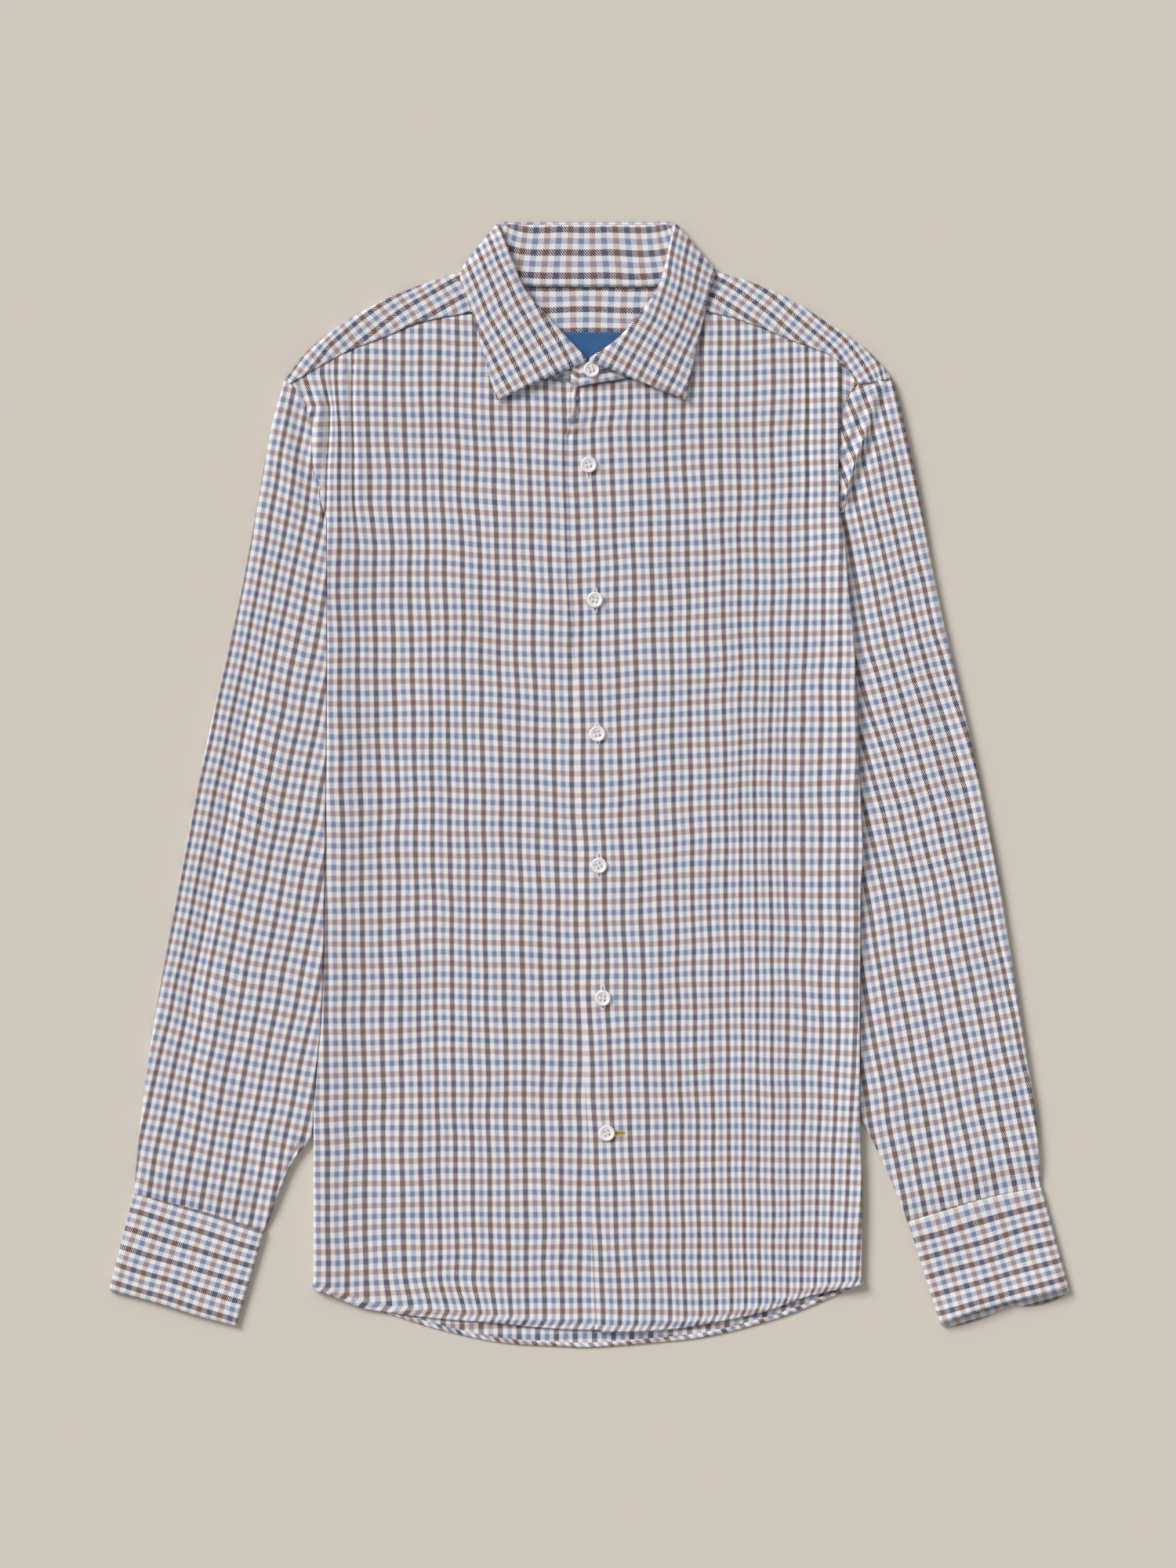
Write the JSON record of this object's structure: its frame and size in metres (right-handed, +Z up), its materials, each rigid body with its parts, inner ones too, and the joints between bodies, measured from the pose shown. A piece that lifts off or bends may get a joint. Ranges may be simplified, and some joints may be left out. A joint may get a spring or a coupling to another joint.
{
  "type": "flannel shirt",
  "caption": "Checked flannel shirt with a spread collar, long sleeves and cuffs, buttoned up and laid flat on its back.",
  "frame": {"origin": "centre of the shirt's outline as it lies, on the surface under it", "axes": "+Y towards the collar, +X towards the wearer's left, +Z up out of the buttoned front"},
  "size_m": [0.6738, 0.7893, 0.0119],
  "materials": {
    "flannel": "brushed twill, checked in charcoal, blue and tan on cream",
    "label": "plain blue satin",
    "button": "pearl"
  },
  "bodies": {
    "root": {"back": "flannel", "front_right": "flannel", "front_left": "flannel", "yoke_right": "flannel", "yoke_left": "flannel", "yoke_lining": "flannel", "collar_stand": "flannel", "collar_leaf": "flannel", "sleeve_right": "flannel", "sleeve_left": "flannel", "cuff_right": "flannel", "cuff_left": "flannel", "neck_label": "label", "button_collar": "button", "button_1": "button", "button_2": "button", "button_3": "button", "button_4": "button", "button_5": "button", "button_6": "button"}
  },
  "joints": []
}
